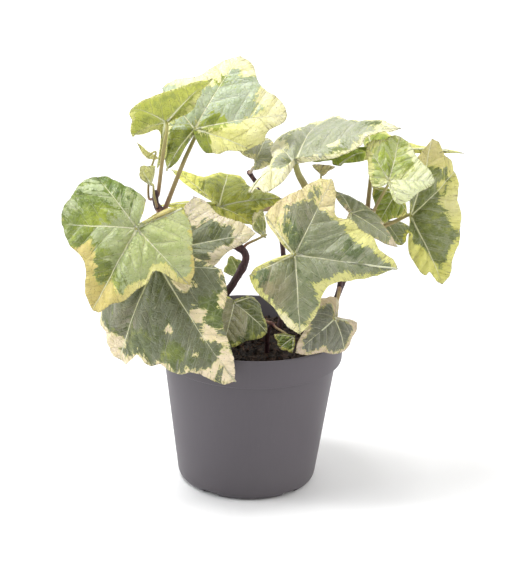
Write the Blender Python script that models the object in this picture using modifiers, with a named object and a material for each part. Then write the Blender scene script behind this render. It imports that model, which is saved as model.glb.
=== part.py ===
"""A young variegated ivy in a round plastic nursery pot, standing at rest.

The pot's foot is centred on the origin, +Z is up and the fuller side of the plant faces -Y.
Sizes below are in millimetres; the scene is in metres. Each leaf is one piece: a thin lobed
blade with its own stalk. The leaves hang on five dark vines that stand in the soil.
"""

import math

import bmesh
import bpy
from mathutils import Matrix, Vector

MM = 0.001

# Pot
RIM_RADIUS = 45.0
RIM_BAND = 14.0
POT_HEIGHT = 76.5
BODY_TOP_RADIUS = 41.6
FOOT_RADIUS = 32.8
CORNER = 3.2
WALL = 1.0
FLOOR = 1.4
LIP = 0.6
CHANNEL_IN = 14.0
CHANNEL_OUT = 29.5
CHANNEL_RISE = 2.4
DRAINS = 5
DRAIN_RADIUS = 3.0
ARCH_WIDTH = 9.0
ARCH_RISE = 2.0
NOTCH_WIDTH = 7.0
NOTCH_RISE = 0.5
ARCH_TURN = -31.0
POT_SIDES = 48

# Soil
SOIL_BELOW_RIM = 9.0
SOIL_MOUND = 2.5
GAP = 0.3
PLANTING_DEPTH = 12.0

# Plant
PLANT_HEIGHT = 130.0
LEAF_THICKNESS = 0.6
STALK_RADIUS = 1.25
STOUT_STALKS = {"leaf_top_centre": 1.7}
STALK_SIDES = 6
VINE_SIDES = 8
TIP_SHARE = 0.55
SHOULDER = 1.06
ARCH = 0.06
PUCKER = 0.035
RINGS = (0.36, 0.7, 1.0)

# The leaves and vines are laid out for a 45 mm rim and a top leaf 130 mm above it.
SPREAD = RIM_RADIUS / 45.0
TALLNESS = PLANT_HEIGHT / 130.0

# Vines: (radius, points). Points are x, y and the height above the rim; the first one is where
# the vine leaves the soil, so its height is not used.
VINES = {
    "vine_left": (1.9, (
        (-16, -8, 0), (-15, -13, 15), (-9, -11, 26), (-4.5, -9, 34), (-3.5, -8, 39), (-7, -8, 43),
        (-18, -8, 46), (-28, -8, 51), (-38, -13, 58), (-45, -18, 65), (-46, -19, 73))),
    "vine_right": (1.5, (
        (26, -3, 0), (37, -7, 14), (41, -8, 22), (41, -6, 34), (34, -8, 50), (26, -8, 66))),
    "vine_outer": (1.3, (
        (31, 6, 0), (40, 3, 14), (44, 0, 26), (50, 0, 42), (53, 0, 52), (55, 0, 60))),
    "vine_back": (1.4, (
        (14, 16, 0), (16, 21, 12), (15, 24, 26), (12, 29, 42), (4, 35, 56), (-4, 38, 67))),
    "vine_front": (1.2, (
        (8, -14, 0), (8, -17, 4), (10, -18, 9))),
}

# Leaves: the vine the stalk grows from and the height on it, the junction of stalk and blade, the
# lobe tips anticlockwise as seen from the upper face, from one side of the stalk round to the
# other, and how full the edge is between each two tips (1 is the straight line between them).
LEAVES = {
    "leaf_front_left": ("vine_left", 64, (-53, -42, 62), (
        (-49, -31, 73), (-72, -30, 83), (-87, -44, 63), (-72, -54, 26), (-52, -54, 37),
        (-28, -50, 38), (-32, -33, 70), (-41, -34, 70)), (1.1, 1.13, 0.86, 1.05, 0.72, 1.1, 1.0)),
    "leaf_lower_left": ("vine_left", 59, (-44, -31, 42), (
        (-71, -24, 18), (-62, -30, -8), (-41, -46, -2), (-6, -56, -6), (-14, -36, 42)),
        (1.0, 0.92, 0.99, 0.92)),
    "leaf_mid_left": ("vine_left", 46, (-32, -21, 47), (
        (-34, -24, 39), (-23, -26, 36), (1, -19, 54), (-29, -9, 69)), (1.0, 0.95, 0.9)),
    "leaf_lime_mid": ("vine_back", 50, (-17, 4, 59), (
        (-45, 6, 58), (-1, -2, 52), (13, 8, 63), (-13, 30, 69), (-41, 24, 71)),
        (0.9, 0.9, 0.88, 0.78)),
    "leaf_top": ("vine_left", 62, (-29, -4, 99), (
        (-23, -9, 89), (-3, -8, 91), (14, -3, 107), (-9, 14, 130), (-46, 12, 114),
        (-42, -8, 79)), (1.0, 1.0, 0.95, 0.92, 0.75)),
    "leaf_top_left": ("vine_left", 71, (-42, -8, 103), (
        (-46, -6, 80), (-58, -6, 95), (-58, -14, 111), (-21, -16, 127), (-28, -10, 114)),
        (0.35, 1.0, 0.98, 0.95)),
    "leaf_top_centre": ("vine_right", 62, (18, -14, 87), (
        (40, -24, 95), (66, -12, 106), (31, 30, 97), (7, 6, 90), (-4, -26, 77), (7, -28, 77)),
        (0.95, 0.88, 0.95, 0.6, 1.0)),
    "leaf_top_back": ("vine_back", 66, (0, 8, 82), (
        (-1, 2, 78), (16, 2, 82), (5, 26, 88), (-8, 6, 86)), (0.9, 0.9, 0.9)),
    "leaf_lime_back": ("vine_outer", 60, (55, 12, 86), (
        (26, 14, 80), (39, 6, 81), (98, 12, 87), (50, 44, 93)), (0.9, 0.6, 0.6)),
    "leaf_front_right": ("vine_right", 40, (19, -42, 52), (
        (-2, -44, 42), (23, -50, 15), (66, -46, 48), (48, -36, 63), (35, -30, 85),
        (4, -34, 68)), (1.02, 0.63, 1.0, 0.78, 1.12)),
    "leaf_low_right": ("vine_right", 24, (39, -30, 17), (
        (40, -20, 24), (29, -24, 23), (21, -42, 4), (45, -29, 0), (50, -26, 14)),
        (1.05, 1.0, 1.0, 1.0)),
    "leaf_low_mid": ("vine_front", 9, (20, -27, 6), (
        (11, -29, 8), (14, -32, 2), (20, -34, 1)), (1.0, 1.0)),
    "leaf_low_left": ("vine_front", 9, (-8, -24, 21), (
        (-17, -28, 25), (-13, -38, 4), (8, -30, 9), (2, -14, 21)), (1.0, 1.05, 1.0)),
    "leaf_behind": ("vine_left", 34, (-6, 2, 25), (
        (-14, 4, 26), (-11, 8, 33), (-5, 6, 31)), (1.0, 1.0)),
    "leaf_right_top": ("vine_outer", 64, (61, -24, 83), (
        (66, -29, 73), (82, -26, 84), (66, -12, 101), (50, -17, 98), (54, -22, 79)),
        (1.0, 1.0, 1.0, 1.05)),
    "leaf_right_hanging": ("vine_outer", 52, (74, 2, 58), (
        (79, -6, 33), (91, -4, 26), (97, 4, 52), (94, 8, 79), (82, 6, 95)),
        (0.9, 1.0, 1.0, 1.0)),
    "leaf_right_lime": ("vine_outer", 56, (66, -2, 70), (
        (55, 0, 72), (58, -5, 56), (72, -4, 61)), (1.0, 1.0)),
    "leaf_right_low": ("vine_outer", 46, (63, 10, 52), (
        (61, 6, 45), (71, 6, 42), (75, 12, 50)), (1.0, 1.0)),
    "leaf_right_long": ("vine_outer", 50, (45, -18, 65), (
        (42, -30, 58), (67, -26, 52), (56, -11, 64), (37, -8, 73)), (0.9, 0.9, 0.9)),
    "leaf_young_cream": ("vine_right", 66, (30, -6, 81), (
        (31, -10, 80), (37, -4, 83), (26, -2, 83)), (1.0, 1.0)),
    "leaf_young_middle": ("vine_left", 42, (5, -8, 49), (
        (-1, -9, 52), (-1, -4, 58), (4, -2, 60)), (1.0, 1.0)),
    "leaf_bud_left": ("vine_left", 69, (-50, -19, 89), (
        (-50, -24, 90), (-55, -20, 96), (-45, -14, 87)), (1.0, 1.0)),
    "leaf_bud_low": ("vine_left", 67, (-48, -22, 77), (
        (-53, -24, 80), (-53, -24, 86), (-46, -20, 85)), (1.0, 1.0)),
}

MATERIALS = {
    "pot_plastic": ((0.14, 0.13, 0.145), 0.5),
    "peat": ((0.022, 0.014, 0.011), 0.95),
    "vine_bark": ((0.05, 0.018, 0.022), 0.55),
    "leaf": ((0.24, 0.33, 0.14), 0.45),
}


def place(x, y, above_rim):
    """A point of the plant's layout, fitted to this pot and plant height."""
    return Vector((x * SPREAD, y * SPREAD, POT_HEIGHT + above_rim * TALLNESS)) * MM


def collection(name):
    made = bpy.data.collections.new(name)
    bpy.context.scene.collection.children.link(made)
    return made


def add_object(name, data, where):
    made = bpy.data.objects.new(name, data)
    where.objects.link(made)
    return made


def material(name):
    colour, roughness = MATERIALS[name]
    made = bpy.data.materials.get(name) or bpy.data.materials.new(name)
    made.use_nodes = True
    shader = made.node_tree.nodes["Principled BSDF"]
    shader.inputs["Base Color"].default_value = (*colour, 1.0)
    shader.inputs["Roughness"].default_value = roughness
    made.diffuse_color = (*colour, 1.0)
    return made


def turned(name, profile, sides, where):
    """A solid of revolution from (radius, height) pairs in mm, spun by a Screw modifier."""
    mesh = bpy.data.meshes.new(name)
    points = [(r * MM, 0.0, z * MM) for r, z in profile]
    mesh.from_pydata(points, [(i, i + 1) for i in range(len(points) - 1)], [])
    made = add_object(name, mesh, where)
    screw = made.modifiers.new("turn", "SCREW")
    screw.steps = screw.render_steps = sides
    screw.use_merge_vertices = True
    screw.merge_threshold = 0.00001
    return made


def cut(target, cutter, operation="DIFFERENCE"):
    boolean = target.modifiers.new(cutter.name, "BOOLEAN")
    boolean.operation = operation
    boolean.solver = "EXACT"
    boolean.object = cutter


def block(name, size, centre, turn):
    """A box cutter, centred at a point in mm and turned about Z."""
    mesh = bpy.data.meshes.new(name)
    bm = bmesh.new()
    bmesh.ops.create_cube(bm, size=1.0)
    bmesh.ops.scale(bm, vec=Vector(size) * MM, verts=bm.verts)
    bmesh.ops.translate(bm, vec=Vector(centre) * MM, verts=bm.verts)
    bm.to_mesh(mesh)
    bm.free()
    made = add_object(name, mesh, cutters)
    made.rotation_euler.z = math.radians(turn)
    return made


def rod(name, radius, depth, centre):
    """An upright round cutter, centred at a point in mm."""
    mesh = bpy.data.meshes.new(name)
    bm = bmesh.new()
    bmesh.ops.create_cone(
        bm, cap_ends=True, segments=16, radius1=radius * MM, radius2=radius * MM, depth=depth * MM)
    bmesh.ops.translate(bm, vec=Vector(centre) * MM, verts=bm.verts)
    bm.to_mesh(mesh)
    bm.free()
    return add_object(name, mesh, cutters)


def smooth(values, steps, closed=False):
    """Values along a smooth curve through the given ones (numbers or vectors), steps to a gap."""
    count = len(values)
    pick = (lambda i: values[i % count]) if closed else (lambda i: values[min(max(i, 0), count - 1)])
    made = []
    for i in range(count if closed else count - 1):
        a, b, c, d = (pick(i + k) for k in (-1, 0, 1, 2))
        for t in (k / steps for k in range(steps)):
            made.append(0.5 * (2 * b + (c - a) * t + (2 * a - 5 * b + 4 * c - d) * t ** 2
                               + (3 * b - a - 3 * c + d) * t ** 3))
    return made if closed else made + [values[-1]]


def tube(name, points, radii, sides, where):
    """A round rod swept along a line of points, as a closed mesh with capped ends."""
    curve = bpy.data.curves.new(name, "CURVE")
    curve.dimensions = "3D"
    curve.bevel_depth = 1.0
    curve.bevel_resolution = sides // 2 - 2
    curve.use_fill_caps = True
    spline = curve.splines.new("POLY")
    spline.points.add(len(points) - 1)
    for knot, point, radius in zip(spline.points, points, radii):
        knot.co = (*point, 1.0)
        knot.radius = radius * MM
    guide = bpy.data.objects.new(name, curve)
    bpy.context.scene.collection.objects.link(guide)
    bpy.context.view_layer.update()
    graph = bpy.context.evaluated_depsgraph_get()
    mesh = bpy.data.meshes.new_from_object(guide.evaluated_get(graph))
    bpy.data.objects.remove(guide)
    bm = bmesh.new()
    bm.from_mesh(mesh)
    bmesh.ops.remove_doubles(bm, verts=bm.verts, dist=0.000005)
    bmesh.ops.recalc_face_normals(bm, faces=bm.faces)
    bm.to_mesh(mesh)
    bm.free()
    mesh.name = name
    return add_object(name, mesh, where)


def inside_wall():
    """The inner wall from the floor up, as (radius, height) pairs; the soil follows it too."""
    band_z = POT_HEIGHT - RIM_BAND
    return [
        (FOOT_RADIUS - WALL + 0.4, FLOOR + CHANNEL_RISE + 2.0),
        (BODY_TOP_RADIUS - WALL, band_z - 1.5),
        (RIM_RADIUS - WALL - 0.9, band_z + 1.0),
        (RIM_RADIUS - WALL - 0.2, POT_HEIGHT - LIP),
    ]


def inner_radius(z):
    wall = inside_wall()
    for (r0, z0), (r1, z1) in zip(wall, wall[1:]):
        if z <= z1:
            return r0 + (r1 - r0) * (z - z0) / (z1 - z0)
    return wall[-1][0]


def pot():
    """Thin-walled pot with a plain band round the rim, a rounded foot and a raised drain channel."""
    band_z = POT_HEIGHT - RIM_BAND
    profile = [(0, FLOOR + CHANNEL_RISE), (CHANNEL_OUT, FLOOR + CHANNEL_RISE), *inside_wall()]
    profile += [
        (RIM_RADIUS - WALL + 0.2, POT_HEIGHT),
        (RIM_RADIUS - 0.3, POT_HEIGHT),
        (RIM_RADIUS, POT_HEIGHT - LIP),
        (RIM_RADIUS - 0.6, band_z + 0.9),
        (RIM_RADIUS - 1.3, band_z),
        (BODY_TOP_RADIUS, band_z - 0.6),
        (FOOT_RADIUS + 1.0, CORNER + 1.6),
        (FOOT_RADIUS + 0.2, CORNER - 1.4),
        (FOOT_RADIUS - 0.9, 0.5),
        (FOOT_RADIUS - 1.8, 0),
        (CHANNEL_OUT, 0),
        (CHANNEL_OUT, CHANNEL_RISE),
        (CHANNEL_IN, CHANNEL_RISE),
        (CHANNEL_IN, 0),
        (0, 0),
    ]
    made = turned("pot", profile, POT_SIDES, parts)
    ring = (CHANNEL_OUT + FOOT_RADIUS) / 2
    for i in range(DRAINS):
        turn = ARCH_TURN + i * 360 / DRAINS
        for name, wide, rise, at in (
                ("arch", ARCH_WIDTH, ARCH_RISE, turn),
                ("notch", NOTCH_WIDTH, NOTCH_RISE, turn + 180 / DRAINS)):
            mesh = block(f"{name}_{i + 1}", (wide, 12.0, 2 * rise), (0, -ring, 0), at)
            cut(made, mesh)
        angle = math.radians(turn - 90)
        middle = (CHANNEL_IN + CHANNEL_OUT) / 2
        hole = rod(f"drain_{i + 1}", DRAIN_RADIUS, 12.0,
                   (middle * math.cos(angle), middle * math.sin(angle), 4.0))
        cut(made, hole)
    return made


def soil():
    """Peat filling the pot to a little under the rim; the sockets for the vines are cut later."""
    top = POT_HEIGHT - SOIL_BELOW_RIM
    bottom = FLOOR + CHANNEL_RISE + 0.6
    edge = [(r - GAP - 0.1, z) for r, z in reversed(inside_wall()) if z < top - 2]
    profile = [
        (0, top + SOIL_MOUND), (12, top + SOIL_MOUND * 0.85), (24, top + SOIL_MOUND * 0.4),
        (34, top), (inner_radius(top) - 2.5, top - 0.4), (inner_radius(top) - GAP - 0.2, top - 1.4),
        *edge, (CHANNEL_OUT - 2.0, bottom), (0, bottom),
    ]
    return turned("soil", profile, 48, parts)


def vines(ground):
    """The five stems; each stands in its own socket in the soil."""
    made = {}
    for name, (radius, layout) in VINES.items():
        x, y, _ = layout[0]
        root = Vector((x * SPREAD, y * SPREAD, POT_HEIGHT - SOIL_BELOW_RIM - PLANTING_DEPTH)) * MM
        collar = root + Vector((0, 0, (PLANTING_DEPTH + SOIL_MOUND + 1.0) * MM))
        points = [root] + smooth([collar] + [place(*point) for point in layout[1:]], 3)
        radii = [radius * (1.0 - 0.25 * i / len(points)) for i in range(len(points))]
        stem = tube(name, points, radii, VINE_SIDES, parts)
        socket = tube(f"{name}_socket", [root - Vector((0, 0, GAP * MM)), collar],
                      [radius + GAP + 0.1] * 2, 12, cutters)
        cut(ground, socket)
        made[name] = (stem, points, radii)
    return made


def margin(tips, fullness):
    """The leaf's edge, from the stalk's notch round to it: a shoulder either side of every tip."""
    length = max(tip.length for tip in tips)
    face = Vector()
    for a, b in zip(tips, tips[1:]):
        face += a.cross(b)
    face.normalize()
    open_angle = math.tau - sum(a.angle(b) for a, b in zip(tips, tips[1:]))
    back = Matrix.Rotation(-open_angle / 2, 3, face) @ tips[0].normalized()
    notch = back * max(0.06 * length, 1.3 * MM)
    between = [(a + b) * 0.5 * full for a, b, full in zip(tips, tips[1:], fullness)]
    edge = []
    for i, tip in enumerate(tips):
        start, end = tip * TIP_SHARE, tip * TIP_SHARE
        if i:
            start += between[i - 1] * (SHOULDER - TIP_SHARE)
        else:
            start = tip * 0.62 + back * 0.16 * tip.length
        if i + 1 < len(tips):
            end += between[i] * (SHOULDER - TIP_SHARE)
        else:
            end = tip * 0.62 + back * 0.16 * tip.length
        edge += [start, tip, end]
        if i + 1 < len(tips):
            edge.append(between[i] + face * PUCKER * length)
    edge.append(notch)
    return edge, face, length


def blade(name, junction, tips, fullness):
    """A lobed leaf blade: a spun disc whose spokes are stretched out to the leaf's edge."""
    edge, face, length = margin(tips, fullness)
    bm = bmesh.new()
    row = [bm.verts.new((s, 0, 0)) for s in (0.0, *RINGS)]
    lines = [bm.edges.new(pair) for pair in zip(row, row[1:])]
    bmesh.ops.spin(
        bm, geom=row + lines, cent=(0, 0, 0), axis=(0, 0, 1), angle=math.tau,
        steps=len(edge), use_merge=True)
    bmesh.ops.remove_doubles(bm, verts=bm.verts, dist=0.0001)
    for vert in bm.verts:
        share = vert.co.length
        turn = math.atan2(vert.co.y, vert.co.x) / math.tau
        spoke = edge[round(turn * len(edge)) % len(edge)]
        arch = face * ARCH * length * 4 * share * (1 - share)
        vert.co = junction + spoke * share + arch
    bmesh.ops.recalc_face_normals(bm, faces=bm.faces)
    mesh = bpy.data.meshes.new(name)
    bm.to_mesh(mesh)
    bm.free()
    made = add_object(name, mesh, parts)
    solid = made.modifiers.new("thickness", "SOLIDIFY")
    solid.thickness = LEAF_THICKNESS * MM
    solid.offset = 0.0
    return made, face, length


def at_height(vine, z):
    """The last place where a vine's centre line passes a height: the point, direction and radius."""
    _, points, radii = vine
    for i in reversed(range(1, len(points) - 1)):
        low, high = points[i], points[i + 1]
        if min(low.z, high.z) <= z <= max(low.z, high.z):
            share = (z - low.z) / (high.z - low.z)
            return low.lerp(high, share), (high - low).normalized(), radii[i]
    return points[-1], (points[-1] - points[-2]).normalized(), radii[-1]


def leaves(stems):
    for name, (vine, height, joint, layout, fullness) in LEAVES.items():
        junction = place(*joint)
        tips = [place(*tip) - junction for tip in layout]
        made, face, length = blade(name, junction, tips, fullness)
        spot, along, thick = at_height(stems[vine], place(0, 0, height).z)
        towards = junction - spot
        out = (towards - along * towards.dot(along)).normalized()
        start = spot + out * (thick + GAP + 0.05) * MM
        lead = start + out * 2.5 * MM
        reach = junction - lead
        under = junction - face * min(0.25 * reach.length, 6 * MM)
        middle = lead + reach * 0.55 - face * 0.05 * reach.length
        tipward = junction + face * 0.35 * LEAF_THICKNESS * MM
        points = [start] + smooth([lead, middle, under, tipward], 2)
        radius = STALK_RADIUS * min(1.0, 0.4 + length / MM / 70) * STOUT_STALKS.get(name, 1.0)
        radii = [radius * (1.0 - 0.4 * i / len(points)) for i in range(len(points))]
        stalk = tube(f"{name}_stalk", points, radii, STALK_SIDES, cutters)
        cut(made, stalk, "UNION")


for old in list(bpy.data.objects):
    bpy.data.objects.remove(old)

parts = collection("potted_ivy")
cutters = collection("cutters")
cutters.hide_render = True

pot()
ground = soil()
leaves(vines(ground))

for made in parts.objects:
    kind = ("pot_plastic" if made.name == "pot" else "peat" if made.name == "soil"
            else "vine_bark" if made.name.startswith("vine") else "leaf")
    made.data.materials.append(material(kind))
for helper in cutters.objects:
    helper.hide_render = True
    helper.display_type = "WIRE"
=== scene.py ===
# %% [markdown]
# # A young variegated ivy in a nursery pot
# The plant is built piece by piece round a finished CAD model, which gives the size and place of
# everything: the pot, the soil, five vines and twenty-three leaves. Each CAD piece is hidden and
# a finer piece stands in its place. Everything is in metres, with +Z up.

# %% Load the model that everything is built around
import math
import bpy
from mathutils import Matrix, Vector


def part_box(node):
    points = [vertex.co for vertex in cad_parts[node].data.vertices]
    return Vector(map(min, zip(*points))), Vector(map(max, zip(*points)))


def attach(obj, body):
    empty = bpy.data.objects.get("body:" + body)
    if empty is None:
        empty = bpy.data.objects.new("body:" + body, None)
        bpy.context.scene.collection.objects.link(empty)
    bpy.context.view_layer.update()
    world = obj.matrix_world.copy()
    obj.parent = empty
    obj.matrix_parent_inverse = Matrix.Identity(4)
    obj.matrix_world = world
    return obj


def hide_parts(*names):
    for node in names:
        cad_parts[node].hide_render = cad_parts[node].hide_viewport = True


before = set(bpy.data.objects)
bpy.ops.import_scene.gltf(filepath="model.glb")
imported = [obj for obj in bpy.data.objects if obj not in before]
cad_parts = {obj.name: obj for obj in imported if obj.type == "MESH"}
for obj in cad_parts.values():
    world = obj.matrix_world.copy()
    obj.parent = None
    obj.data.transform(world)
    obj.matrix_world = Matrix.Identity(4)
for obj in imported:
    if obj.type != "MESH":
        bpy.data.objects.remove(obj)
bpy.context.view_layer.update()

from types import SimpleNamespace

import bmesh
import bpy
import numpy as np
from mathutils import Matrix, Vector, noise

MM = 0.001
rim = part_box("pot")[1]
POT_HEIGHT, RIM_RADIUS = rim.z / MM, rim.x / MM
print(f"the pot is {POT_HEIGHT:.1f} mm high and {2 * RIM_RADIUS:.1f} mm across its rim")


def placed(name, data):
    """A new object in the scene."""
    made = bpy.data.objects.new(name, data)
    bpy.context.scene.collection.objects.link(made)
    return made


def mesh_of(name, points, faces=(), edges=()):
    """A new mesh from its points and its faces or edges."""
    made = bpy.data.meshes.new(name)
    made.from_pydata(points, list(edges), list(faces))
    return made


# %% [markdown]
# ## The studio
# A product on a pale table is lit by large, soft lamps, so that nothing throws a hard shadow and
# a dull plastic pot turns lighter at its edges. The camera is a long lens one metre away,
# looking a little down.

# %% Camera
VIEW_TILT, VIEW_ROLL, VIEW_DISTANCE, LENS = 19.8, 1.9, 1.0, 132.45
AIM = Vector((0.0018, 0.0, 0.0983))

camera = placed("camera", bpy.data.cameras.new("camera"))
bpy.context.scene.camera = camera
camera.data.lens = LENS
tilt = math.radians(VIEW_TILT)
back = Vector((0, -math.cos(tilt), math.sin(tilt)))
camera.location = AIM + back * VIEW_DISTANCE
camera.rotation_mode = "QUATERNION"
turn = Matrix.Rotation(math.radians(VIEW_ROLL), 3, back).to_quaternion()
camera.rotation_quaternion = turn @ (-back).to_track_quat("-Z", "Y")
print("the camera stands at", [round(v, 3) for v in camera.location])

# %% Lamps
bpy.context.scene.view_settings.view_transform = "Standard"


def lamp(name, where, target, size, power, colour=(1, 1, 1)):
    """A square soft lamp that faces a point."""
    light = bpy.data.lights.new(name, "AREA")
    light.size, light.energy, light.color = size, power, colour
    made = placed(name, light)
    made.location = where
    made.rotation_mode = "QUATERNION"
    made.rotation_quaternion = (Vector(target) - made.location).to_track_quat("-Z", "Y")


lamp("overhead", (-0.3, -0.05, 0.9), (0, 0, 0.12), 0.35, 6.5)
lamp("left_window", (-0.95, -0.25, 0.55), (0, 0, 0.1), 0.6, 5.0, (0.94, 0.97, 1.0))
lamp("right_window", (0.95, -0.15, 0.4), (0, 0, 0.08), 0.6, 4.0, (1.0, 0.98, 0.95))
print(len(bpy.data.lights), "soft lamps")

# %% [markdown]
# ## Writing shaders as sums
# A finish is a recipe: noise here, a little more colour there. Written with Blender's nodes, even
# a short recipe needs a dozen boxes and wires. The small class below wraps one output socket, so
# that `mask * 0.5 + grain` adds the Math nodes by itself, and `make` adds every other node.

# %% A socket that takes part in Python sums
class Wire:
    """One output socket of a shader; arithmetic on it adds Math nodes."""

    def __init__(self, tree, socket):
        self.tree, self.socket = tree, socket

    def make(self, kind, settings=None, sockets=None, out=0):
        """Adds a node: its settings first, then the values or wires of its sockets."""
        node = self.tree.nodes.new("ShaderNode" + kind)
        for name, value in (settings or {}).items():
            if name == "stops":
                ramp = node.color_ramp
                while len(ramp.elements) < len(value):
                    ramp.elements.new(0.5)
                for stop, (place, colour) in zip(ramp.elements, value):
                    stop.position, stop.color = place, (*colour, 1.0)
            else:
                setattr(node, name, value)
        for name, value in (sockets or {}).items():
            socket = node.inputs[name]
            if isinstance(value, Wire):
                self.tree.links.new(value.socket, socket)
            elif socket.type == "RGBA":
                socket.default_value = (*value, 1.0)
            else:
                socket.default_value = value
        return Wire(self.tree, node.outputs[out])

    def output(self, out):
        """Another output of the node that this wire leaves."""
        return Wire(self.tree, self.socket.node.outputs[out])

    def math(self, operation, *values):
        return self.make("Math", {"operation": operation}, dict(enumerate(values)))

    def __add__(self, other):
        if self.socket.type == "VECTOR":
            return self.make("VectorMath", None, {0: self, 1: (other, other, other)})
        return self.math("ADD", self, other)

    def __sub__(self, other):
        return self.math("SUBTRACT", self, other)

    def __rsub__(self, other):
        return self.math("SUBTRACT", other, self)

    def __mul__(self, other):
        return self.math("MULTIPLY", self, other)

    def __truediv__(self, other):
        return self.math("DIVIDE", self, other)

    def __abs__(self):
        return self.math("ABSOLUTE", self)

    __radd__, __rmul__ = __add__, __mul__

    def fract(self):
        return self.math("FRACT", self)

    def step(self, low, high):
        """0 below low, 1 above high, and a soft ramp between them."""
        return self.make("MapRange", {"interpolation_type": "SMOOTHSTEP"},
                         {"Value": self, "From Min": low, "From Max": high})

    def scaled(self, x, y, z):
        """This vector, stretched along its three axes."""
        return self.make("VectorMath", {"operation": "MULTIPLY"}, {0: self, 1: (x, y, z)})

    def noise(self, scale, detail=2.0, roughness=0.5):
        return self.make("TexNoise", None, {
            "Vector": self, "Scale": scale, "Detail": detail, "Roughness": roughness})

    def mix(self, above, share, mode="MIX"):
        """This colour with another one laid over it."""
        return self.make("Mix", {"data_type": "RGBA", "blend_type": mode},
                         {0: share, 6: self, 7: above}, out=2)

    def cells(self, scale):
        """Two independent random numbers for each small cell of this place."""
        colour = self.make("TexVoronoi", None, {"Vector": self, "Scale": scale}, out=1)
        first = self.make("SeparateColor", None, {"Color": colour})
        return first, first.output(1)

    def tinted(self, tint, share):
        """This colour, multiplied by a tint as far as share says."""
        return self.mix(self.mix(tint, 1.0, "MULTIPLY"), share)

    def blend(self, low, high):
        """Runs from one colour to another as this number runs from 0 to 1."""
        return self.make("Mix", {"data_type": "RGBA"}, {0: self, 6: low, 7: high}, out=2)

    def ramp(self, *stops):
        """A colour for each place that this number passes."""
        return self.make("ValToRGB", {"stops": stops}, {0: self})


def finish(name, roughness=0.5, **constants):
    """A new Principled material; returns it and a wire to start its recipe from."""
    made = bpy.data.materials.new(name)
    made.use_nodes = True
    shader = made.node_tree.nodes["Principled BSDF"]
    shader.inputs["Roughness"].default_value = roughness
    for socket, value in constants.items():
        shader.inputs[socket.replace("_", " ")].default_value = value
    return made, Wire(made.node_tree, None)


def apply(made, **wires):
    """Joins the finished wires to the material's shader."""
    shader = made.node_tree.nodes["Principled BSDF"]
    for socket, wire in wires.items():
        made.node_tree.links.new(wire.socket, shader.inputs[socket.replace("_", " ")])


def bump(height, strength, distance):
    """Fine relief that the light sees; distance is how high 1 stands, in metres."""
    return height.make("Bump", None, {
        "Height": height, "Strength": strength, "Distance": distance})


def object_place(start):
    """The point's own place in metres, which does not slide when the camera moves."""
    return start.make("TexCoord", out=3)


def attribute(start, name, out="Fac"):
    """A number, vector or colour stored on the mesh: Fac, Vector or Color."""
    return start.make("Attribute", {"attribute_name": name}).output(out)


# %% [markdown]
# ## The room
# The room is white all round, but the side behind the camera is dimmer, as it is where somebody
# stands with a camera. That is what lets the sides of a round pot look lighter than its middle.

# %% Room
ROOM_LIGHT, ROOM_DIMMING = 0.95, 0.5
world = bpy.data.worlds.new("pale_room")
bpy.context.scene.world = world
world.use_nodes = True
sky = Wire(world.node_tree, None)
heading = sky.make("TexCoord", out=0)
towards_back = heading.make("VectorMath", {"operation": "DOT_PRODUCT"},
                            {0: heading, 1: (0.0, -1.0, 0.1)}, out=1)
seen = sky.make("LightPath", out=0)
level = ROOM_LIGHT - towards_back.step(-0.2, 0.95) * ROOM_DIMMING
level = level * (1.0 - seen) + seen
world.node_tree.links.new(level.socket, world.node_tree.nodes["Background"].inputs["Strength"])
world.node_tree.nodes["Background"].inputs["Color"].default_value = (1, 1, 1, 1)
print("room light:", ROOM_LIGHT, "and, behind the camera,", round(ROOM_LIGHT - ROOM_DIMMING, 2))

# %% [markdown]
# ## The floor
# The table is a pale laminate. It only needs to catch the plant's soft shadow, so it is a single
# flat sheet whose colour wanders by a hair.
# Far out it glows faintly, so that it runs into the white room with no horizon.

# %% Floor
FLOOR_SIZE, FLOOR_DROP = 4.0, 0.0002
GLOW, GLOW_FROM, GLOW_TO = 0.6, 0.3, 1.1
edge = FLOOR_SIZE / 2
sheet = mesh_of("floor", [(-edge, -edge, 0), (edge, -edge, 0), (edge, edge, 0), (-edge, edge, 0)],
                [(0, 1, 2, 3)])
floor = placed("floor", sheet)
floor.location.z = -FLOOR_DROP
pale, start = finish("pale_table", 0.6, Emission_Strength=1.0)
spot = object_place(start)
away = spot.make("VectorMath", {"operation": "LENGTH"}, {0: spot}, out=1)
glow = away.step(GLOW_FROM, GLOW_TO) * GLOW
apply(pale, Base_Color=spot.noise(3.0).blend((0.93, 0.93, 0.93), (0.96, 0.96, 0.96)),
      Emission_Color=start.make("CombineColor", None, {0: glow, 1: glow, 2: glow}))
sheet.materials.append(pale)
print("floor sheet of", FLOOR_SIZE, "m")

# %% [markdown]
# ## Helpers for every piece
# Each piece rides on the body called root, stands in for its CAD node and takes its finishes.
# One helper does the three, so that none is forgotten.


# %% Put a piece in place of its CAD node
def piece(name, mesh, node, slot, *materials):
    """A visible piece; one that stands in for no node is an extra, such as crumbs."""
    made = placed(name, mesh)
    for material in materials:
        mesh.materials.append(material)
    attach(made, "root")
    if node:
        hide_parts(node)
    return made


def smooth_line(points, steps):
    """Points along a smooth curve through the given ones, steps to a gap."""
    points = [Vector(p) for p in points]
    last = len(points) - 1
    made = []
    for i in range(last):
        a, b, c, d = (points[min(max(i + k, 0), last)] for k in (-1, 0, 1, 2))
        for t in (k / steps for k in range(steps)):
            made.append(0.5 * (2 * b + (c - a) * t + (2 * a - 5 * b + 4 * c - d) * t ** 2
                               + (3 * b - a - 3 * c + d) * t ** 3))
    return made + [points[last]]


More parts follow.
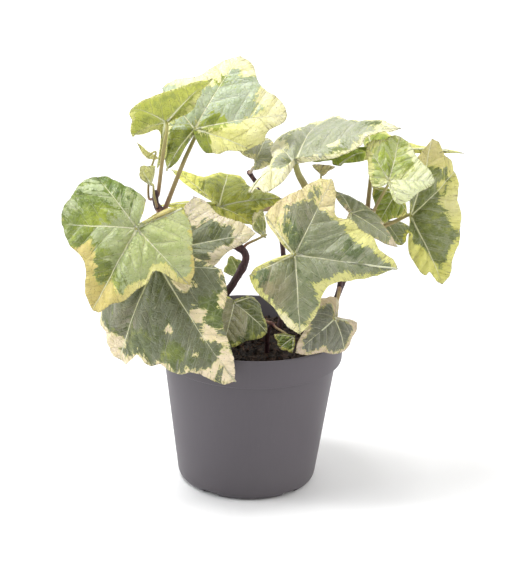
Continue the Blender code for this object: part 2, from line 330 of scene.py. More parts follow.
# %% [markdown]
# ## The pot
# A nursery pot is blown or moulded from thin dark polypropylene: a tapered wall, a plain deeper
# band round the rim, a rounded foot and a raised ring underneath that lets water run to five
# drain holes and out through shallow arches in the foot. It is turned, like the mould it came
# from: a profile drawn once and spun by a Screw modifier, with Boolean cutters for the arches
# and the holes. A Bevel rounds every edge a little, as moulded plastic never has a sharp one.

# %% The pot's profile, spun round its axis
RIM_BAND, FOOT_RADIUS, BODY_TOP = 14.0, 32.8, 41.6
WALL, FLOOR_THICK, RAISED = 1.0, 1.4, 2.4
PAD, RING = 14.0, 29.5
TURN_STEPS, WELD = 160, 0.00001
band_z = POT_HEIGHT - RIM_BAND
inner_wall = [
    (FOOT_RADIUS - WALL + 0.4, FLOOR_THICK + RAISED + 2.0),
    (BODY_TOP - WALL, band_z - 1.5),
    (RIM_RADIUS - WALL - 0.9, band_z + 1.0),
    (RIM_RADIUS - WALL - 0.2, POT_HEIGHT - 0.7),
]
outer_wall = [
    (RIM_RADIUS - WALL + 0.15, POT_HEIGHT), (RIM_RADIUS - 0.35, POT_HEIGHT),
    (RIM_RADIUS, POT_HEIGHT - 0.5), (RIM_RADIUS - 0.6, band_z + 0.9),
    (RIM_RADIUS - 0.8, band_z + 0.3), (RIM_RADIUS - 1.3, band_z), (BODY_TOP + 0.5, band_z - 0.1),
    (BODY_TOP, band_z - 0.7), (FOOT_RADIUS + 1.0, 4.8), (FOOT_RADIUS + 0.75, 3.2),
    (FOOT_RADIUS + 0.2, 1.8), (FOOT_RADIUS - 0.9, 0.5), (FOOT_RADIUS - 1.8, 0),
]
underside = [(RING, 0), (RING, RAISED), (PAD, RAISED), (PAD, 0), (0, 0)]
profile = [(0, FLOOR_THICK + RAISED), (RING, FLOOR_THICK + RAISED)]
profile += inner_wall + outer_wall + underside


def applied(guide):
    """The mesh of a helper object with its modifiers worked out; the helper is removed."""
    bpy.context.view_layer.update()
    made = bpy.data.meshes.new_from_object(
        guide.evaluated_get(bpy.context.evaluated_depsgraph_get()))
    bpy.data.objects.remove(guide)
    return made


def turned(name, outline, steps):
    """A mesh spun from (radius, height) pairs in mm."""
    guide = placed(name, mesh_of(name, [(r * MM, 0, z * MM) for r, z in outline],
                                 edges=[(i, i + 1) for i in range(len(outline) - 1)]))
    screw = guide.modifiers.new("turn", "SCREW")
    screw.steps = screw.render_steps = steps
    screw.use_merge_vertices = True
    screw.merge_threshold = WELD
    return applied(guide)


pot_guide = placed("pot_guide", turned("pot_turned", profile, TURN_STEPS))
print("pot profile:", len(profile), "points,", len(pot_guide.data.polygons), "faces")

# %% Drain holes and the arches in the foot
DRAINS, ARCH_TURN, DRAIN_RADIUS = 5, -31.0, 3
ARCH, NOTCH = (9.0, 2.0), (7.0, 0.5)
CUT_DEPTH, EDGE_ROUNDING = 12.0, 0.00018
cutters = []


def cutter(name, build, where, angle=0.0):
    """A shape that a Boolean takes out of the pot."""
    mesh = bpy.data.meshes.new(name)
    bm = bmesh.new()
    build(bm)
    bmesh.ops.rotate(bm, verts=bm.verts, matrix=Matrix.Rotation(math.radians(angle), 3, "Z"))
    bmesh.ops.translate(bm, verts=bm.verts, vec=Vector(where) * MM)
    bm.to_mesh(mesh)
    bm.free()
    cutters.append(placed(name, mesh))
    cut = pot_guide.modifiers.new(name, "BOOLEAN")
    cut.operation, cut.solver, cut.object = "DIFFERENCE", "EXACT", cutters[-1]


def slot_shape(wide, rise):
    """A block that cuts an arch, in mm; half of it lies below the ground."""
    def build(bm):
        bmesh.ops.create_cube(bm, size=1.0)
        bmesh.ops.scale(bm, vec=Vector((wide, CUT_DEPTH, 2 * rise)) * MM, verts=bm.verts)
    return build


def round_shape(bm):
    """A short cylinder that cuts a drain hole."""
    bmesh.ops.create_cone(bm, cap_ends=True, segments=32, radius1=DRAIN_RADIUS * MM,
                          radius2=DRAIN_RADIUS * MM, depth=CUT_DEPTH * MM)


for i in range(DRAINS):
    around = ARCH_TURN + i * 360 / DRAINS
    for label, size, at in (("arch", ARCH, around), ("notch", NOTCH, around + 36)):
        angle = math.radians(at)
        reach = (RING + FOOT_RADIUS) / 2
        where = (reach * math.sin(angle), -reach * math.cos(angle), 0)
        cutter(f"{label}_{i + 1}", slot_shape(*size), where, at)
    angle = math.radians(around - 90)
    middle = (PAD + RING) / 2
    cutter(f"drain_{i + 1}", round_shape, (middle * math.cos(angle), middle * math.sin(angle), 4))
rounding = pot_guide.modifiers.new("soft_edges", "BEVEL")
rounding.width, rounding.segments, rounding.limit_method = EDGE_ROUNDING, 2, "ANGLE"
rounding.angle_limit = math.radians(35)
pot_mesh = applied(pot_guide)
for tool in cutters:
    bpy.data.objects.remove(tool)
piece("nursery_pot", pot_mesh, "pot", "pot_plastic")
pot_mesh.shade_smooth()
pot_mesh.set_sharp_from_angle(angle=math.radians(32))
print("cut", DRAINS, "drain holes,", DRAINS, "arches and", DRAINS, "notches:",
      len(pot_mesh.polygons), "faces")

# %% [markdown]
# ### The pot's plastic
# The finish is a dull dark grey with a breath of purple. Recycled plastic is never quite even:
# it has soft clouds, fine flow lines down the wall, a close orange-peel skin and small scuffs
# that are paler. The wall is also paler and duller with dust low down, near the foot.

# %% Pot plastic
plastic, start = finish("recycled_plastic", 0.5, Specular_IOR_Level=0.4)
spot = object_place(start)
clouds = spot.noise(35.0, 3.0)
flow = spot.scaled(900, 900, 40).noise(1.0, 2.0)
skin = spot.noise(2600.0, 2.0)
scuff = spot.scaled(500, 500, 110).noise(1.0, 3.0, 0.65).step(0.66, 0.76)
height = spot.make("SeparateXYZ", None, {"Vector": spot}, out=2)
dust = (1.0 - height.step(0.0, 0.03)) * clouds
base = (clouds * 0.7 + flow * 0.3).blend((0.074, 0.064, 0.074), (0.093, 0.082, 0.094))
base = base.mix((0.17, 0.16, 0.17), scuff * 0.2).mix((0.15, 0.145, 0.14), dust * 0.25)
apply(plastic, Base_Color=base, Roughness=0.44 + clouds * 0.16 + scuff * 0.15,
      Normal=bump(skin * 0.5 + flow * 0.5, 0.25, 0.00006))
pot_mesh.materials.append(plastic)
print("plastic:", len(plastic.node_tree.nodes), "nodes")

# %% [markdown]
# ## The soil
# Young plants grow in fibrous peat. Its top is a low mound of crumbs of every size with pale
# flecks. A grid of rings that follows the mound is pushed up and down by noise, and several
# hundred separate crumbs and short fibres lie on it, since the eye reads those first.

# %% The mound
SOIL_BELOW_RIM, MOUND, SOIL_FOOT = 9.0, 2.5, 4.6
SOIL_TOP, SOIL_EDGE = POT_HEIGHT - SOIL_BELOW_RIM, RIM_RADIUS - WALL - 1.3


def soil_height(r):
    """How high the mound is at a distance from the middle, both in mm."""
    share = r / SOIL_EDGE
    return SOIL_TOP + MOUND * math.cos(share * math.pi / 2) ** 1.3 - 0.9 * share ** 8


RINGS_OF_SOIL, SPOKES_OF_SOIL = 60, 180
mound = []
for i in range(RINGS_OF_SOIL + 1):
    r = SOIL_EDGE * i / RINGS_OF_SOIL
    for k in range(SPOKES_OF_SOIL):
        angle = math.tau * k / SPOKES_OF_SOIL
        at = Vector((r * math.cos(angle), r * math.sin(angle), 0))
        rough = noise.noise(at * 0.22) * 1.0 + noise.noise(at * 0.75) * 0.7
        rough += noise.noise(at * 2.1) * 0.35
        mound.append((at.x * MM, at.y * MM, (soil_height(r) + rough - 0.5) * MM))
for r, z in ((SOIL_EDGE - 0.3, band_z + 1.5), (BODY_TOP - WALL - 0.5, band_z - 1.2),
             (FOOT_RADIUS - WALL, 7.0), (FOOT_RADIUS - 4, SOIL_FOOT)):
    for k in range(SPOKES_OF_SOIL):
        angle = math.tau * k / SPOKES_OF_SOIL
        mound.append((r * math.cos(angle) * MM, r * math.sin(angle) * MM, z * MM))
rows = RINGS_OF_SOIL + 5
faces = [(i * SPOKES_OF_SOIL + k, (i + 1) * SPOKES_OF_SOIL + k,
          (i + 1) * SPOKES_OF_SOIL + (k + 1) % SPOKES_OF_SOIL,
          i * SPOKES_OF_SOIL + (k + 1) % SPOKES_OF_SOIL)
         for i in range(rows - 1) for k in range(SPOKES_OF_SOIL)]
faces.append(tuple(range((rows - 1) * SPOKES_OF_SOIL, rows * SPOKES_OF_SOIL)))
soil_mesh = mesh_of("soil", mound, faces)
bm = bmesh.new()
bm.from_mesh(soil_mesh)
bmesh.ops.remove_doubles(bm, verts=bm.verts, dist=1e-6)
bmesh.ops.recalc_face_normals(bm, faces=bm.faces)
bm.to_mesh(soil_mesh)
bm.free()
print("the mound rises", MOUND, "mm and lies", SOIL_BELOW_RIM, "mm below the rim")

# %% Peat colours
peat, start = finish("damp_peat", 0.9)
spot = object_place(start)
clod = spot.noise(300.0, 4.0, 0.6)
base = clod.ramp((0.3, (0.010, 0.006, 0.005)), (0.5, (0.028, 0.016, 0.011)),
                 (0.68, (0.075, 0.040, 0.024)))
red = spot.noise(700.0, 2.0).step(0.6, 0.7)
base = base.mix((0.14, 0.05, 0.025), red * 0.5).mix((0.05, 0.03, 0.02), 0.3, "OVERLAY")
apply(peat, Base_Color=base, Roughness=0.75 + clod * 0.25,
      Normal=bump(clod + spot.noise(1500.0, 2.0) * 0.5, 0.6, 0.0003))
piece("peat_soil", soil_mesh, "soil", "peat", peat)
print("soil surface:", len(soil_mesh.polygons), "faces")

# %% Crumbs, fibres and pale grit on the mound
rng = np.random.default_rng(11)
CRUMBS, FIBRES, GRIT = 620, 110, 14


def scatter(name, count, build, material):
    """Many small bits joined into one piece that lies on the soil."""
    mesh = bpy.data.meshes.new(name)
    bm = bmesh.new()
    for _ in range(count):
        r = SOIL_EDGE * 0.97 * math.sqrt(rng.random())
        angle = rng.random() * math.tau
        at = Vector((r * math.cos(angle), r * math.sin(angle), soil_height(r)))
        build(bm, at)
    bm.to_mesh(mesh)
    bm.free()
    piece(name, mesh, None, "peat", material)


def crumb_shape(least, most):
    """A lumpy crumb whose radius in mm lies between the two, mostly near the smaller one."""
    def build(bm, at):
        size = least + (most - least) * rng.random() ** 2
        found = bmesh.ops.create_icosphere(bm, subdivisions=1, radius=size * MM)["verts"]
        tilt = Matrix.Rotation(rng.random() * math.tau, 3, Vector(rng.normal(size=3)))
        stretch = Vector(rng.uniform(0.6, 1.25, 3))
        for vert in found:
            lumps = 1.0 + 0.35 * rng.normal()
            co = Vector(vert.co[i] * stretch[i] for i in range(3)) * max(0.5, min(1.4, lumps))
            vert.co = tilt @ co + (at + Vector((0, 0, size * 0.25))) * MM
    return build


FIBRE_GAPS = 5


def fibre_shape(bm, at):
    """A thin fibre that lies on the soil and bends as it goes."""
    long = rng.uniform(2.0, 7.0)
    heading = rng.random() * math.tau
    wide = rng.uniform(0.1, 0.22)
    line = []
    for k in range(FIBRE_GAPS + 1):
        step = long * k / FIBRE_GAPS
        heading += rng.normal() * 0.25
        rise = 0.35 + 0.7 * math.sin(math.pi * k / FIBRE_GAPS) * rng.random()
        line.append(at + Vector((math.cos(heading) * step, math.sin(heading) * step, rise)))
    rings = []
    for k, spot_on_line in enumerate(line):
        ahead = (line[min(k + 1, FIBRE_GAPS)] - line[max(k - 1, 0)]).normalized()
        side = ahead.cross(Vector((0, 0, 1))).normalized()
        up = side.cross(ahead)
        rings.append([bm.verts.new((spot_on_line + (side * math.cos(a) + up * math.sin(a))
                                    * wide * (1 - 0.5 * k / FIBRE_GAPS)) * MM)
                      for a in (0.0, 2.1, 4.2)])
    for low, high in zip(rings, rings[1:]):
        for k in range(3):
            bm.faces.new((low[k], low[(k + 1) % 3], high[(k + 1) % 3], high[k]))
    bm.faces.new(rings[0][::-1])
    bm.faces.new(rings[-1])


fibre_brown, start = finish("peat_fibre", 0.8)
spot = object_place(start)
apply(fibre_brown, Base_Color=spot.noise(400.0).step(0.4, 0.6).blend(
    (0.035, 0.016, 0.010), (0.19, 0.085, 0.040)))
grit_white, start = finish("pale_grit", 0.7)
apply(grit_white, Base_Color=object_place(start).noise(900.0).blend(
    (0.45, 0.42, 0.38), (0.75, 0.73, 0.70)))
scatter("soil_crumbs", CRUMBS, crumb_shape(0.35, 1.5), peat)
scatter("soil_fibres", FIBRES, fibre_shape, fibre_brown)
scatter("soil_grit", GRIT, crumb_shape(0.25, 0.5), grit_white)
print(CRUMBS, "crumbs,", FIBRES, "fibres and", GRIT, "bits of grit")

# %% [markdown]
# ## Vines and stalks
# A vine is a thin woody rod that bends a little at each node, where a leaf grows. A stalk is
# thinner, wine red where it leaves the vine and olive to tan near its leaf. Both are rings of
# points swept along a smooth line, which lets every ring swell, taper and carry its own share
# of the way along, for the finish to read.

# %% Sweep a rod along a line
RIM = Vector((0, 0, POT_HEIGHT))


def store(mesh, key, kind, values, domain="POINT"):
    """Keeps numbers, vectors or colours on a mesh, for its finish to read."""
    field = {"FLOAT": "value", "FLOAT_VECTOR": "vector", "FLOAT_COLOR": "color"}[kind]
    mesh.attributes.new(key, kind, domain).data.foreach_set(
        field, np.ascontiguousarray(values, np.float32).ravel())


def rod(name, line, radii, sides, wobble):
    """A closed rod as a mesh. The attribute 'share' runs from 0 at its start to 1 at its end."""
    line = [Vector(p) for p in line]
    points, share = [], []
    side = Vector((1, 0.1, 0.05))
    for k, at in enumerate(line):
        ahead = (line[min(k + 1, len(line) - 1)] - line[max(k - 1, 0)]).normalized()
        side = (side - ahead * side.dot(ahead)).normalized()
        up = ahead.cross(side)
        for s in range(sides):
            angle = math.tau * s / sides
            out = side * math.cos(angle) + up * math.sin(angle)
            lump = 1.0 + wobble * noise.noise((at + out * radii[k] * 2) * 0.9)
            points.append((at + out * radii[k] * lump) * MM)
            share.append(k / (len(line) - 1))
    count = len(line)
    faces = [(k * sides + s, k * sides + (s + 1) % sides,
              (k + 1) * sides + (s + 1) % sides, (k + 1) * sides + s)
             for k in range(count - 1) for s in range(sides)]
    faces += [tuple(range(sides))[::-1], tuple((count - 1) * sides + s for s in range(sides))]
    mesh = mesh_of(name, points, faces)
    store(mesh, "share", "FLOAT", share)
    for face in mesh.polygons:
        face.use_smooth = len(face.vertices) == 4
    return mesh


# %% Vine bark and stalk skin
bark, start = finish("vine_bark", 0.5, Specular_IOR_Level=0.45)
spot = object_place(start)
streak = spot.scaled(1100, 1100, 160).noise(1.0, 3.0, 0.6)
pore = spot.noise(1400.0, 1.0).step(0.68, 0.74)
base = streak.ramp((0.3, (0.016, 0.006, 0.008)), (0.55, (0.050, 0.017, 0.022)),
                   (0.75, (0.115, 0.050, 0.040)))
apply(bark, Base_Color=base.mix((0.20, 0.12, 0.08), pore * 0.6),
      Roughness=0.42 + streak * 0.25, Normal=bump(streak + pore * 0.5, 0.4, 0.0002))

skin, start = finish("stalk_skin", 0.45, Specular_IOR_Level=0.5)
spot = object_place(start)
along = attribute(start, "share")
streak = spot.scaled(900, 900, 200).noise(1.0, 3.0, 0.6)
base = (along + streak * 0.3 - 0.15).ramp(
    (0.0, (0.085, 0.022, 0.030)), (0.16, (0.20, 0.09, 0.060)), (0.38, (0.29, 0.22, 0.09)),
    (1.0, (0.36, 0.36, 0.11)))
apply(skin, Base_Color=base.mix((0.46, 0.34, 0.20), streak.step(0.55, 0.75) * 0.4),
      Roughness=0.4 + streak * 0.2, Normal=bump(streak, 0.3, 0.00012))
print("bark and stalk skin are mixed")

# %% The five vines
# Each vine is its radius and the points it passes: x, y and the height above the rim, in mm.
VINES = {
    "vine_left": (1.9, (
        (-16, -8, 0), (-15, -13, 15), (-9, -11, 26), (-4.5, -9, 34), (-3.5, -8, 39), (-7, -8, 43),
        (-18, -8, 46), (-28, -8, 51), (-38, -13, 58), (-45, -18, 65), (-46, -19, 73))),
    "vine_right": (1.5, (
        (26, -3, 0), (37, -7, 14), (41, -8, 22), (41, -6, 34), (34, -8, 50), (26, -8, 66))),
    "vine_outer": (1.3, (
        (31, 6, 0), (40, 3, 14), (44, 0, 26), (50, 0, 42), (53, 0, 52), (55, 0, 60))),
    "vine_back": (1.4, (
        (14, 16, 0), (16, 21, 12), (15, 24, 26), (12, 29, 42), (4, 35, 56), (-4, 38, 67))),
    "vine_front": (1.2, (
        (8, -14, 0), (8, -17, 4), (10, -18, 9))),
}
VINE_STEPS, VINE_SIDES, VINE_LUMPS, VINE_TAPER = 8, 20, 0.1, 0.25
NODE_EVERY, NODE_WIDTH, NODE_SWELL, ROOT_DEPTH = 16, 1.6, 0.22, 12
stems = {}
for name, (radius, layout) in VINES.items():
    x, y, _ = layout[0]
    root = Vector((x, y, SOIL_TOP - ROOT_DEPTH))
    collar = Vector((x, y, SOIL_TOP + MOUND + 1))
    line = [root] + smooth_line([collar] + [RIM + Vector(p) for p in layout[1:]], VINE_STEPS)
    taper = [radius * (1.0 - VINE_TAPER * i / len(line)) for i in range(len(line))]
    swell = [t * (1.0 + NODE_SWELL
                  * math.exp(-((i % NODE_EVERY - NODE_EVERY / 2) / NODE_WIDTH) ** 2))
             for i, t in enumerate(taper)]
    swell[-1] *= 0.6
    piece(name + "_stem", rod(name, line, swell, VINE_SIDES, VINE_LUMPS), name, "vine_bark", bark)
    stems[name] = (line, taper)
    print(f"{name}: {len(line)} rings, {2 * radius:.1f} mm thick")

# %% [markdown]
# ## Ivy leaves
# An ivy leaf is a thin, leathery hand: a few strong veins fan out from the stalk, one into each
# lobe, and the skin between them swells like a quilt. So each leaf is described the way it
# grows, by the point where its stalk joins and the tip of every lobe, in space. The blade is a
# fan of spokes from that point to the edge, cut into rings. Spokes run exactly along the veins,
# which lets every face know how far it lies along and beside its own vein.

# %% Colours of the living leaf
FERN, BRIGHT, LIME = (0.23, 0.27, 0.05), (0.37, 0.43, 0.05), (0.43, 0.46, 0.055)
JADE, SLATE, ASH = (0.14, 0.165, 0.06), (0.155, 0.165, 0.10), (0.28, 0.30, 0.19)
SAGE, CREAM, BLUSH = (0.38, 0.42, 0.23), (0.84, 0.77, 0.50), (0.80, 0.67, 0.48)
BUTTER, MUSTARD, STRAW = (0.72, 0.70, 0.28), (0.56, 0.46, 0.16), (0.62, 0.60, 0.14)
TAN = (0.48, 0.38, 0.25)

# %% The leaves as they grow
# Each leaf is its vine, the height on it, the junction of stalk and blade, the lobe tips in
# order round the leaf, and how full the edge is between each two tips. Places are in mm, with
# heights above the rim.
LEAVES = {
    "leaf_front_left": ("vine_left", 64, (-53, -42, 62), (
        (-49, -31, 73), (-72, -30, 83), (-87, -44, 63), (-72, -54, 26), (-52, -54, 37),
        (-28, -50, 38), (-32, -33, 70), (-41, -34, 70)), (1.1, 1.13, 0.86, 1.05, 0.72, 1.1, 1.0)),
    "leaf_lower_left": ("vine_left", 59, (-44, -31, 42), (
        (-71, -24, 18), (-62, -30, -8), (-41, -46, -2), (-6, -56, -6), (-14, -36, 42)),
        (1.0, 0.92, 0.99, 0.92)),
    "leaf_mid_left": ("vine_left", 46, (-32, -21, 47), (
        (-34, -24, 39), (-23, -26, 36), (1, -19, 54), (-29, -9, 69)), (1.0, 0.95, 0.9)),
    "leaf_lime_mid": ("vine_back", 50, (-17, 4, 59), (
        (-45, 6, 58), (-1, -2, 52), (13, 8, 63), (-13, 30, 69), (-41, 24, 71)),
        (0.9, 0.9, 0.88, 0.78)),
    "leaf_top": ("vine_left", 62, (-29, -4, 99), (
        (-23, -9, 89), (-3, -8, 91), (14, -3, 107), (-9, 14, 130), (-46, 12, 114),
        (-42, -8, 79)), (1.0, 1.0, 0.95, 0.92, 0.75)),
    "leaf_top_left": ("vine_left", 71, (-42, -8, 103), (
        (-46, -6, 80), (-58, -6, 95), (-58, -14, 111), (-21, -16, 127), (-28, -10, 114)),
        (0.35, 1.0, 0.98, 0.95)),
    "leaf_top_centre": ("vine_right", 62, (18, -14, 87), (
        (40, -24, 95), (66, -12, 106), (31, 30, 97), (7, 6, 90), (-4, -26, 77), (7, -28, 77)),
        (0.95, 0.88, 0.95, 0.6, 1.0)),
    "leaf_top_back": ("vine_back", 66, (0, 8, 82), (
        (-1, 2, 78), (16, 2, 82), (5, 26, 88), (-8, 6, 86)), (0.9, 0.9, 0.9)),
    "leaf_lime_back": ("vine_outer", 60, (55, 12, 86), (
        (26, 14, 80), (39, 6, 81), (98, 12, 87), (50, 44, 93)), (0.9, 0.6, 0.6)),
    "leaf_front_right": ("vine_right", 40, (19, -42, 52), (
        (-2, -44, 42), (23, -50, 15), (66, -46, 48), (48, -36, 63), (35, -30, 85),
        (4, -34, 68)), (1.02, 0.63, 1.0, 0.78, 1.12)),
    "leaf_low_right": ("vine_right", 24, (39, -30, 17), (
        (40, -20, 24), (29, -24, 23), (21, -42, 4), (45, -29, 0), (50, -26, 14)),
        (1.05, 1.0, 1.0, 1.0)),
    "leaf_low_mid": ("vine_front", 9, (20, -27, 6), (
        (11, -29, 8), (14, -32, 2), (20, -34, 1)), (1.0, 1.0)),
    "leaf_low_left": ("vine_front", 9, (-8, -24, 21), (
        (-17, -28, 25), (-13, -38, 4), (8, -30, 9), (2, -14, 21)), (1.0, 1.05, 1.0)),
    "leaf_behind": ("vine_left", 34, (-6, 2, 25), (
        (-14, 4, 26), (-11, 8, 33), (-5, 6, 31)), (1.0, 1.0)),
    "leaf_right_top": ("vine_outer", 64, (61, -24, 83), (
        (66, -29, 73), (82, -26, 84), (66, -12, 101), (50, -17, 98), (54, -22, 79)),
        (1.0, 1.0, 1.0, 1.05)),
    "leaf_right_hanging": ("vine_outer", 52, (74, 2, 58), (
        (79, -6, 33), (91, -4, 26), (97, 4, 52), (94, 8, 79), (82, 6, 95)),
        (0.9, 1.0, 1.0, 1.0)),
    "leaf_right_lime": ("vine_outer", 56, (66, -2, 70), (
        (55, 0, 72), (58, -5, 56), (72, -4, 61)), (1.0, 1.0)),
    "leaf_right_low": ("vine_outer", 46, (63, 10, 52), (
        (61, 6, 45), (71, 6, 42), (75, 12, 50)), (1.0, 1.0)),
    "leaf_right_long": ("vine_outer", 50, (45, -18, 65), (
        (42, -30, 58), (67, -26, 52), (56, -11, 64), (37, -8, 73)), (0.9, 0.9, 0.9)),
    "leaf_young_cream": ("vine_right", 66, (30, -6, 81), (
        (31, -10, 80), (37, -4, 83), (26, -2, 83)), (1.0, 1.0)),
    "leaf_young_middle": ("vine_left", 42, (5, -8, 49), (
        (-1, -9, 52), (-1, -4, 58), (4, -2, 60)), (1.0, 1.0)),
    "leaf_bud_left": ("vine_left", 69, (-50, -19, 89), (
        (-50, -24, 90), (-55, -20, 96), (-45, -14, 87)), (1.0, 1.0)),
    "leaf_bud_low": ("vine_left", 67, (-48, -22, 77), (
        (-53, -24, 80), (-53, -24, 86), (-46, -20, 85)), (1.0, 1.0)),
}
print(len(LEAVES), "leaves")

# %% [markdown]
# ### How a leaf is painted
# Variegated ivy has three zones: a green ground, greyer patches over it along the veins, and a
# pale edge without any green. They are laid on like washes. A leaf starts with one colour for
# each zone and the width of its pale edge; then dabs add or remove a zone, or tint it, round a
# place on the leaf. Lobe 2 is the third tip and 2.5 is halfway to the next; share runs from 0 at
# the stalk to 1 at the edge. The dabs are soft; the shader later breaks their edges up into the
# small cells that a real leaf shows.

